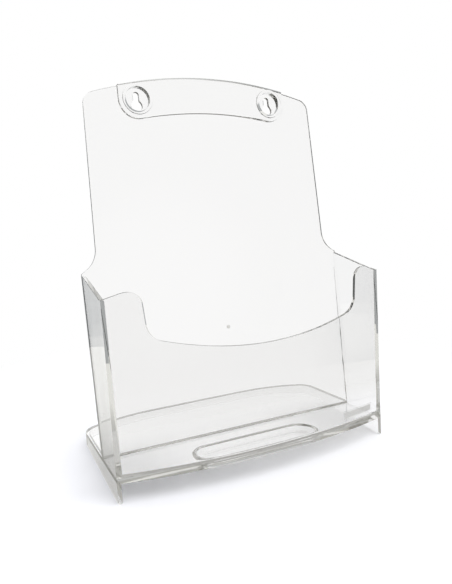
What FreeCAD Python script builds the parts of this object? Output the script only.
import FreeCAD, Part
import math
import os
import Sketcher
from FreeCAD import Placement, Rotation, Vector

# Clear literature holder: a leaning back panel, a pocket with a bowed front, and a stand plate that
# carries the pocket floor on behind the panel. Every wall is modelled as its own solid, and they
# meet face to face.
#
# All pieces are drawn in the holder's own axes: X to the right, Y to the rear, Z square to the
# floor plate, with the origin where the middle of the panel's front face meets the floor. The
# finished holder is then tipped back by the slope of its skirts and set on the table, Z = 0.

os.makedirs("parts", exist_ok=True)
doc = FreeCAD.newDocument("magazine_rack")

SIZES = {
    # whole holder
    "outer_width": 235.0,
    "wall": 3.0,
    "floor_thickness": 3.0,
    # pocket
    "pocket_depth": 43.0,
    "front_bow": 15.0,
    "wall_foot": 4.8,
    "corner_height": 127.4,
    "lobe_rise": 4.2,
    "lobe_inset": 18.0,
    "lobe_inner_radius": 9.5,
    "lobe_outer_radius": 20.0,
    "lobe_fall_angle": 16.0,
    "cutout_height": 84.0,
    "cutout_radius": 275.0,
    "cutout_corner_radius": 14.5,
    "cutout_side_angle": 85.0,
    # back panel, along its own face
    "lean_angle": 5.7,
    "panel_height": 296.0,
    "panel_crown_radius": 340.0,
    "panel_corner_radius": 10.0,
    "head_inset": 15.6,
    "waist_inset": 12.7,
    "shoulder_height": 143.2,
    "shoulder_radius": 20.0,
    "shoulder_turn": 61.0,
    "gate_height": 87.0,
    "gate_radius": 1.6,
    "gate_thickness": 0.4,
    # hanging bosses and their band
    "boss_spacing": 118.8,
    "boss_drop": 19.4,
    "boss_radius": 12.2,
    "boss_rim": 2.4,
    "boss_proud": 1.5,
    "keyplate_thickness": 2.5,
    "keyhole_radius": 4.7,
    "keyhole_drop": 4.5,
    "slot_width": 5.0,
    "slot_rise": 4.3,
    "slot_round": 2.0,
    "band_thickness": 3.0,
    "band_margin": 2.8,
    # stand
    "rear_reach": 94.0,
    "rear_crown_inset": 65.0,
    "rear_crown_angle": 1.0,
    "rear_shoulder_angle": 28.0,
    "rear_corner_radius": 18.0,
    "foot_height": 17.8,
    "rear_height": 9.7,
    # dish in the pocket floor
    "dish_length": 105.0,
    "dish_width": 28.6,
    "dish_inset": 11.0,
    "dish_depth": 4.0,
    "dish_wall": 2.5,
}

sheet = doc.addObject("Spreadsheet::Sheet", "Sizes")
for row, (alias, value) in enumerate(SIZES.items(), start=1):
    sheet.set(f"A{row}", alias)
    sheet.set(f"B{row}", str(value))
    sheet.setAlias(f"B{row}", alias)
doc.recompute()
size = {alias: float(sheet.get(alias)) for alias in SIZES}


# ---------------------------------------------------------------- sketch and body helpers

def plane_of(body, role):
    """The body's own origin plane: XY_Plane, XZ_Plane or YZ_Plane."""
    return next(f for f in body.Origin.OriginFeatures if f.Role == role)


def new_body(label):
    body = doc.addObject("PartDesign::Body", label)
    body.Label = label
    return body


def new_sketch(body, name, role, offset=None):
    sketch = body.newObject("Sketcher::SketchObject", name)
    sketch.AttachmentSupport = [(plane_of(body, role), "")]
    sketch.MapMode = "FlatFace"
    if offset is not None:
        sketch.AttachmentOffset = offset
    return sketch


def bind(sketch, index, name, expression):
    sketch.renameConstraint(index, name)
    sketch.setExpression(f"Constraints.{name}", expression)


def draw(sketch, start, steps):
    """Draw one closed outline.

    A step is (x, y) for a straight edge or (x, y, mid_x, mid_y) for an arc through its middle
    point. Each corner is joined to the next edge and pinned at its place.
    """
    first = sketch.GeometryCount
    here = Vector(start[0], start[1], 0)
    for step in steps:
        there = Vector(step[0], step[1], 0)
        if len(step) == 2:
            sketch.addGeometry(Part.LineSegment(here, there))
        else:
            sketch.addGeometry(Part.Arc(here, Vector(step[2], step[3], 0), there))
        here = there
    last = sketch.GeometryCount - 1
    ends = {}
    here = Vector(start[0], start[1], 0)
    for index, step in zip(range(first, last + 1), steps):
        there = Vector(step[0], step[1], 0)
        forward = (sketch.getPoint(index, 1) - here).Length < (sketch.getPoint(index, 2) - here).Length
        ends[index] = (1, 2) if forward else (2, 1)
        here = there
    for index in range(first, last + 1):
        following = index + 1 if index < last else first
        sketch.addConstraint(Sketcher.Constraint(
            "Coincident", index, ends[index][1], following, ends[following][0]))
    for index, step in zip(range(first, last + 1), steps):
        corner = (index, ends[index][1])
        sketch.addConstraint(Sketcher.Constraint("DistanceX", -1, 1, *corner, step[0]))
        sketch.addConstraint(Sketcher.Constraint("DistanceY", -1, 1, *corner, step[1]))
        if len(step) == 4:
            centre = sketch.getPoint(index, 3)
            chord = sketch.getPoint(index, 2) - sketch.getPoint(index, 1)
            if abs(chord.x) > abs(chord.y):
                sketch.addConstraint(Sketcher.Constraint("DistanceY", -1, 1, index, 3, centre.y))
            else:
                sketch.addConstraint(Sketcher.Constraint("DistanceX", -1, 1, index, 3, centre.x))


def circle(sketch, x, y, radius_expression, radius):
    index = sketch.addGeometry(Part.Circle(Vector(x, y, 0), Vector(0, 0, 1), radius))
    sketch.addConstraint(Sketcher.Constraint("DistanceX", -1, 1, index, 3, x))
    sketch.addConstraint(Sketcher.Constraint("DistanceY", -1, 1, index, 3, y))
    constraint = sketch.addConstraint(Sketcher.Constraint("Radius", index, radius))
    bind(sketch, constraint, f"radius_{index}", radius_expression)


def mirrored(start, steps):
    """The same path on the other side of the vertical axis."""
    flip = (-1, 1, -1, 1)
    return (-start[0], start[1]), [tuple(c * s for c, s in zip(step, flip)) for step in steps]


def walked_back(start, steps):
    """The same path from its end to its start."""
    points = [start] + [step[:2] for step in steps]
    back = [before + step[2:] for before, step in zip(reversed(points[:-1]), reversed(steps))]
    return points[-1], back


def both_sides(start, right, top_middle):
    """A right half, the arc over the middle that joins the halves, and the left half."""
    over, left = walked_back(*mirrored(start, right))
    return right + [(*over, *top_middle)] + left


def pad(body, sketch, length, reversed_way=False, midplane=False):
    feature = body.newObject("PartDesign::Pad", "Pad")
    feature.Profile = sketch
    feature.setExpression("Length", length)
    feature.Reversed = reversed_way
    feature.Midplane = midplane
    body.Tip = feature
    doc.recompute()
    return feature


def pocket(body, sketch, length=None, reversed_way=False, midplane=False):
    """Cut the sketch out of the body: to a depth, or right through if none is given."""
    before = body.Shape.Volume
    feature = body.newObject("PartDesign::Pocket", "Pocket")
    feature.Profile = sketch
    if length is None:
        feature.Type = "ThroughAll"
    else:
        feature.setExpression("Length", length)
    feature.Reversed = reversed_way
    feature.Midplane = midplane
    body.Tip = feature
    doc.recompute()
    assert body.Shape.Volume < before - 1e-6, f"{sketch.Name} cuts nothing from {body.Label}"
    return feature


def polar(centre, radius, degrees):
    angle = math.radians(degrees)
    return centre[0] + radius * math.cos(angle), centre[1] + radius * math.sin(angle)


# ---------------------------------------------------------------- shared forms

HALF = size["outer_width"] / 2
LOBE_TOP = size["corner_height"] + size["lobe_rise"]
BOSS_X = size["boss_spacing"] / 2
BOSS_Z = size["panel_height"] - size["boss_drop"]
DISH_Y = size["dish_inset"] - size["pocket_depth"]
LEAN = math.radians(size["lean_angle"])
BOW_RADIUS = (HALF ** 2 + size["front_bow"] ** 2) / (2 * size["front_bow"])
BOW_CENTRE_Y = BOW_RADIUS - size["pocket_depth"] - size["front_bow"]
FOOTPRINT = size["pocket_depth"] + size["rear_reach"]
TILT = math.atan((size["foot_height"] - size["rear_height"]) / FOOTPRINT)
TABLE_DROP = size["foot_height"] - size["pocket_depth"] * math.tan(TILT)
# how far a cut runs past the piece it trims
CUT_REACH = 2 * size["panel_height"]


def bow_y(x, inset=0.0):
    """Y of the bowed front at this X, a given distance inside its outer face."""
    return BOW_CENTRE_Y - math.sqrt((BOW_RADIUS - inset) ** 2 - x ** 2)


def table_z(y):
    """Height of the table plane below the floor's top, in the holder's own axes."""
    return -TABLE_DROP + y * math.tan(TILT)


def rear_curve(inset=0.0):
    """The stand's rear edge from its left side to its right one, as steps for draw().

    Three tangent arcs a side: a nearly flat crown, a shoulder and a tight corner. The inset
    draws the same curve a wall's thickness inside.
    """
    crown_half = HALF - size["rear_crown_inset"]
    crown_turn = size["rear_crown_angle"]
    shoulder_turn = size["rear_shoulder_angle"]
    sin_crown = math.sin(math.radians(crown_turn))
    sin_shoulder = math.sin(math.radians(shoulder_turn))
    crown_radius = crown_half / sin_crown
    corner_radius = size["rear_corner_radius"]
    shoulder_radius = size["rear_crown_inset"] - corner_radius * (1 - sin_shoulder)
    shoulder_radius /= sin_shoulder - sin_crown
    crown = (0.0, size["rear_reach"] - crown_radius)
    shoulder = polar(crown, crown_radius - shoulder_radius, 90 - crown_turn)
    corner = polar(shoulder, shoulder_radius - corner_radius, 90 - shoulder_turn)
    crown_end = polar(crown, crown_radius - inset, 90 - crown_turn)
    right = []
    for centre, radius, start, end in (
            (shoulder, shoulder_radius, 90 - crown_turn, 90 - shoulder_turn),
            (corner, corner_radius, 90 - shoulder_turn, 0.0)):
        middle = polar(centre, radius - inset, (start + end) / 2)
        right.append((*polar(centre, radius - inset, end), *middle))
    start, left = walked_back(*mirrored(crown_end, right))
    return start, left + [(*crown_end, 0.0, size["rear_reach"] - inset)] + right


def panel_offset(forward=0.0):
    """Tips a front-view sketch back with the panel, a given distance before the panel's face."""
    base = Vector(0, forward * math.sin(LEAN), forward * math.cos(LEAN))
    return Placement(base, Rotation(Vector(1, 0, 0), -size["lean_angle"]))


# ---------------------------------------------------------------- stand and floor

def dish_outline(outset=0.0):
    """The dish's pill shape in the floor, a given distance outside its hollow."""
    end_x = size["dish_length"] / 2 + outset
    straight = (size["dish_length"] - size["dish_width"]) / 2
    near = DISH_Y - size["dish_width"] / 2 - outset
    far = DISH_Y + size["dish_width"] / 2 + outset
    return (-straight, near), [
        (straight, near),
        (straight, far, end_x, DISH_Y),
        (-straight, far),
        (-straight, near, -end_x, DISH_Y),
    ]


def make_floor_plate():
    body = new_body("floor_plate")
    outline = new_sketch(body, "FloorOutline", "XY_Plane")
    start, rear = rear_curve()
    steps = rear + [
        (HALF, -size["pocket_depth"]),
        (-HALF, -size["pocket_depth"], 0, bow_y(0)),
        start,
    ]
    draw(outline, start, steps)
    pad(body, outline, "Sizes.floor_thickness", reversed_way=True)

    well = new_sketch(body, "WellOpening", "XY_Plane")
    draw(well, *dish_outline(size["dish_wall"]))
    pocket(body, well)
    return body


def make_dish():
    body = new_body("dish")
    outside = new_sketch(body, "DishOutside", "XY_Plane")
    draw(outside, *dish_outline(size["dish_wall"]))
    pad(body, outside, "Sizes.dish_depth + Sizes.floor_thickness", reversed_way=True)

    inside = new_sketch(body, "DishInside", "XY_Plane")
    draw(inside, *dish_outline())
    pocket(body, inside, "Sizes.dish_depth")
    return body


def make_skirt(label, side):
    """A wedge under one edge of the floor, deepest at the front, where it is the foot."""
    body = new_body(label)
    profile = new_sketch(body, "SkirtSide", "YZ_Plane")
    front = -size["pocket_depth"]
    rear = rear_curve()[0][1]
    under = -size["floor_thickness"]
    draw(profile, (front, under), [
        (front, table_z(front)),
        (rear, table_z(rear)),
        (rear, under),
        (front, under),
    ])
    profile.setExpression("AttachmentOffset.Base.z", f"{side} * Sizes.outer_width / 2")
    pad(body, profile, "Sizes.wall", reversed_way=side > 0)
    return body


def make_rear_rim():
    body = new_body("rear_rim")
    plan = new_sketch(body, "RimPlan", "XY_Plane")
    start, outer = rear_curve()
    inner_end, way_back = walked_back(*rear_curve(size["wall"]))
    draw(plan, start, outer + [inner_end] + way_back + [start])
    plan.setExpression("AttachmentOffset.Base.z", "-Sizes.floor_thickness")
    pad(body, plan, "Sizes.foot_height", reversed_way=True)

    table = new_sketch(body, "TableCut", "YZ_Plane")
    front, rear = -CUT_REACH, CUT_REACH
    draw(table, (front, table_z(front)), [
        (rear, table_z(rear)),
        (rear, table_z(front) - CUT_REACH),
        (front, table_z(front) - CUT_REACH),
        (front, table_z(front)),
    ])
    pocket(body, table, midplane=True)
    return body


# ---------------------------------------------------------------- pocket

def make_front_panel():
    body = new_body("front_panel")
    plan = new_sketch(body, "FrontPlan", "XY_Plane")
    draw(plan, (-HALF, bow_y(HALF)), [
        (HALF, bow_y(HALF), 0, bow_y(0)),
        (HALF, bow_y(HALF, size["wall"])),
        (-HALF, bow_y(HALF, size["wall"]), 0, bow_y(0, size["wall"])),
        (-HALF, bow_y(HALF)),
    ])
    pad(body, plan, "Sizes.corner_height + Sizes.lobe_rise")

    edge = new_sketch(body, "FrontTopEdge", "XZ_Plane")
    start = (HALF, size["corner_height"])
    steps = both_sides(start, front_top_edge(), (0.0, size["cutout_height"]))
    draw(edge, start, steps + [(-HALF, CUT_REACH), (HALF, CUT_REACH), start])
    pocket(body, edge, midplane=True)
    return body


def front_top_edge():
    """The front's top edge from its right corner to the bottom of the cut-out."""
    top = LOBE_TOP
    lobe = HALF - size["lobe_inset"]
    fall = size["lobe_fall_angle"]
    outer_centre = (lobe, top - size["lobe_outer_radius"])
    outer_end = polar(outer_centre, size["lobe_outer_radius"], 90 - fall)
    outer_middle = polar(outer_centre, size["lobe_outer_radius"], 90 - fall / 2)
    side = size["cutout_side_angle"]
    inner_centre = (lobe, top - size["lobe_inner_radius"])
    inner_end = polar(inner_centre, size["lobe_inner_radius"], 90 + side)
    inner_middle = polar(inner_centre, size["lobe_inner_radius"], 90 + side / 2)

    # the corner arc touches both the lobe's straight side and the wide arc of the cut-out
    wide = (0.0, size["cutout_height"] + size["cutout_radius"])
    radius = size["cutout_corner_radius"]
    normal = (-math.sin(math.radians(side)), math.cos(math.radians(side)))
    offset_x = inner_end[0] + normal[0] * radius
    offset_y = inner_end[1] + normal[1] * radius
    along = (math.cos(math.radians(side)), math.sin(math.radians(side)))
    reach = size["cutout_radius"] - radius
    dx, dy = offset_x - wide[0], offset_y - wide[1]
    b = dx * along[0] + dy * along[1]
    c = dx ** 2 + dy ** 2 - reach ** 2
    distance = -b - math.sqrt(b ** 2 - c)
    corner = (offset_x + along[0] * distance, offset_y + along[1] * distance)
    side_end = (corner[0] - normal[0] * radius, corner[1] - normal[1] * radius)
    meet = math.degrees(math.atan2(corner[1] - wide[1], corner[0] - wide[0]))
    corner_end = polar(wide, size["cutout_radius"], meet)
    corner_middle = polar(corner, radius, (meet + side - 90) / 2)
    return [
        outer_end,
        (lobe, top, *outer_middle),
        (*inner_end, *inner_middle),
        side_end,
        (*corner_end, *corner_middle),
    ]


def make_side_wall(label, side):
    """A drafted wall: thicker at the floor than at its rim, and leaning with the panel behind."""
    body = new_body(label)
    section = new_sketch(body, "WallSection", "XZ_Plane")
    rear_y = size["shoulder_height"] * math.sin(LEAN)
    rear_z = size["shoulder_height"] * math.cos(LEAN)
    draw(section, (side * HALF, 0), [
        (side * HALF, rear_z),
        (side * (HALF - size["wall"]), rear_z),
        (side * (HALF - size["wall_foot"]), 0),
        (side * HALF, 0),
    ])
    pad(body, section, "2 * (Sizes.pocket_depth + Sizes.front_bow)", midplane=True)

    profile = new_sketch(body, "WallSide", "YZ_Plane")
    front = bow_y(HALF, size["wall"])
    draw(profile, (-CUT_REACH, size["corner_height"]), [
        (front, size["corner_height"]),
        (rear_y, rear_z),
        (0, 0),
        (CUT_REACH, 0),
        (CUT_REACH, CUT_REACH),
        (-CUT_REACH, CUT_REACH),
        (-CUT_REACH, size["corner_height"]),
    ])
    pocket(body, profile, midplane=True)

    front_cut = new_sketch(body, "WallFront", "XY_Plane")
    reach = HALF + size["wall"]
    draw(front_cut, (-reach, bow_y(reach, size["wall"])), [
        (reach, bow_y(reach, size["wall"]), 0, bow_y(0, size["wall"])),
        (reach, -CUT_REACH),
        (-reach, -CUT_REACH),
        (-reach, bow_y(reach, size["wall"])),
    ])
    pocket(body, front_cut, reversed_way=True)
    return body


# ---------------------------------------------------------------- back panel

def crown_z(x):
    """Height of the panel's arched top edge at this X."""
    radius = size["panel_crown_radius"]
    return size["panel_height"] - radius + math.sqrt(radius ** 2 - x ** 2)


def panel_right_edge():
    """The panel's right edge from the floor to the crown of its top."""
    # the shoulder curls out of the narrow waist and then falls straight to the pocket's side
    turn = size["shoulder_turn"]
    shoulder_radius = size["shoulder_radius"]
    waist_x = HALF - size["waist_inset"]
    shoulder_x = waist_x + shoulder_radius * (1 - math.cos(math.radians(turn)))
    shoulder_z = size["shoulder_height"] + (HALF - shoulder_x) / math.tan(math.radians(turn))
    waist_z = shoulder_z + shoulder_radius * math.sin(math.radians(turn))
    shoulder_middle = polar((waist_x + shoulder_radius, waist_z), shoulder_radius, 180 + turn / 2)

    # the corner arc touches the head's side and the crown
    radius = size["panel_corner_radius"]
    head_x = HALF - size["head_inset"]
    crown = (0.0, size["panel_height"] - size["panel_crown_radius"])
    corner_x = head_x - radius
    corner_reach = size["panel_crown_radius"] - radius
    corner = (corner_x, crown[1] + math.sqrt(corner_reach ** 2 - corner_x ** 2))
    meet = math.degrees(math.atan2(corner[1] - crown[1], corner[0]))
    crown_start = polar(crown, size["panel_crown_radius"], meet)
    corner_middle = polar(corner, radius, meet / 2)
    return [
        (HALF, size["shoulder_height"]),
        (shoulder_x, shoulder_z),
        (waist_x, waist_z, *shoulder_middle),
        (head_x, corner[1]),
        (*crown_start, *corner_middle),
    ]


def make_back_panel():
    body = new_body("back_panel")
    outline = new_sketch(body, "PanelOutline", "XZ_Plane", panel_offset())
    start = (HALF, -size["wall"])
    steps = both_sides(start, panel_right_edge(), (0.0, size["panel_height"]))
    draw(outline, start, steps + [start])
    pad(body, outline, "Sizes.wall", reversed_way=True)

    floor = new_sketch(body, "FloorCut", "YZ_Plane")
    draw(floor, (-CUT_REACH, 0), [
        (CUT_REACH, 0),
        (CUT_REACH, -CUT_REACH),
        (-CUT_REACH, -CUT_REACH),
        (-CUT_REACH, 0),
    ])
    pocket(body, floor, midplane=True)

    holes = new_sketch(body, "BossHoles", "XZ_Plane", panel_offset())
    for side in (-1, 1):
        circle(holes, side * BOSS_X, BOSS_Z, "Sizes.boss_radius", size["boss_radius"])
    pocket(body, holes, midplane=True)

    gate = new_sketch(body, "GateMark", "XZ_Plane", panel_offset())
    circle(gate, 0, size["gate_height"], "Sizes.gate_radius", size["gate_radius"])
    pad(body, gate, "Sizes.gate_thickness")
    return body


def make_mounting_band():
    """Raised band between the bosses, with a round lobe about each."""
    body = new_body("mounting_band")
    outline = new_sketch(body, "BandOutline", "XZ_Plane", panel_offset())
    lobe_radius = size["boss_radius"] + size["band_margin"]
    side_x = BOSS_X + lobe_radius

    # each lobe runs tangent into the arch, which has the crown's centre
    crown = (0.0, size["panel_height"] - size["panel_crown_radius"])
    boss_direction = math.degrees(math.atan2(BOSS_Z - crown[1], BOSS_X))
    arch_radius = math.hypot(BOSS_X, BOSS_Z - crown[1]) - lobe_radius
    meet = polar(crown, arch_radius, boss_direction)
    lobe_middle = polar((BOSS_X, BOSS_Z), lobe_radius, (boss_direction - 180) / 2)
    start = (side_x, BOSS_Z)
    top = both_sides(start, [(side_x, crown_z(side_x))], (0.0, size["panel_height"]))
    draw(outline, start, top + [
        (-meet[0], meet[1], -lobe_middle[0], lobe_middle[1]),
        (*meet, 0.0, crown[1] + arch_radius),
        (*start, *lobe_middle),
    ])
    for side in (-1, 1):
        circle(outline, side * BOSS_X, BOSS_Z, "Sizes.boss_radius", size["boss_radius"])
    pad(body, outline, "Sizes.band_thickness")
    return body


def make_keyhole_boss(label, side):
    """A round cup through panel and band; a screw's head sits in it and hangs in the keyhole."""
    body = new_body(label)
    x = side * BOSS_X
    z = BOSS_Z
    disc = new_sketch(body, "BossDisc", "XZ_Plane", panel_offset(-size["wall"]))
    circle(disc, x, z, "Sizes.boss_radius", size["boss_radius"])
    pad(body, disc, "Sizes.wall + Sizes.band_thickness + Sizes.boss_proud")

    cup_floor = size["keyplate_thickness"] - size["wall"]
    cup_radius = size["boss_radius"] - size["boss_rim"]
    cup = new_sketch(body, "BossCup", "XZ_Plane", panel_offset(cup_floor))
    circle(cup, x, z, "Sizes.boss_radius - Sizes.boss_rim", cup_radius)
    pocket(body, cup, reversed_way=True)

    keyhole = new_sketch(body, "Keyhole", "XZ_Plane", panel_offset())
    radius = size["keyhole_radius"]
    half_slot = size["slot_width"] / 2
    low = z - size["keyhole_drop"]
    high = z + size["slot_rise"]

    # a small round on either side leads from the slot into the round hole
    slot_round = size["slot_round"]
    round_x = half_slot + slot_round
    neck = low + math.sqrt((radius + slot_round) ** 2 - round_x ** 2)
    turn = math.degrees(math.atan2(neck - low, round_x))
    left_round = (x - round_x, neck)
    right_round = (x + round_x, neck)
    draw(keyhole, (x + half_slot, neck), [
        (x + half_slot, high),
        (x - half_slot, high, x, high + half_slot),
        (x - half_slot, neck),
        (*polar(left_round, slot_round, -turn), *polar(left_round, slot_round, -turn / 2)),
        (*polar(right_round, slot_round, 180 + turn), x, low - radius),
        (x + half_slot, neck, *polar(right_round, slot_round, 180 + turn / 2)),
    ])
    pocket(body, keyhole, midplane=True)
    return body


# ---------------------------------------------------------------- assembly

PIECES = [
    make_floor_plate(),
    make_dish(),
    make_skirt("left_skirt", -1),
    make_skirt("right_skirt", 1),
    make_rear_rim(),
    make_front_panel(),
    make_side_wall("left_wall", -1),
    make_side_wall("right_wall", 1),
    make_back_panel(),
    make_mounting_band(),
    make_keyhole_boss("left_keyhole_boss", -1),
    make_keyhole_boss("right_keyhole_boss", 1),
]

# The holder tips back on its skirts; the middle of its footprint stands over the origin.
front_most = bow_y(0) * math.cos(TILT) - size["floor_thickness"] * math.sin(TILT)
rear_most = size["rear_reach"] * math.cos(TILT)
standing = Placement(
    Vector(0, -(front_most + rear_most) / 2, TABLE_DROP * math.cos(TILT)),
    Rotation(Vector(1, 0, 0), -math.degrees(TILT)))
for piece in PIECES:
    piece.Placement = standing
doc.recompute()

for thing in doc.Objects:
    assert not {"Invalid", "Error"} & set(thing.State), f"{thing.Name}: {thing.State}"
for piece in PIECES:
    shape = piece.Shape
    assert not shape.isNull() and shape.isValid() and shape.Volume > 0, piece.Label
    assert len(shape.Solids) == 1, piece.Label

for piece in PIECES:
    piece.Shape.exportStep(f"parts/{piece.Label}.step")
    box = piece.Shape.BoundBox
    print(f"{piece.Label:20s} {piece.Shape.Volume / 1000:8.2f} cm3  "
          f"{box.XLength:6.1f} x {box.YLength:6.1f} x {box.ZLength:6.1f} mm")
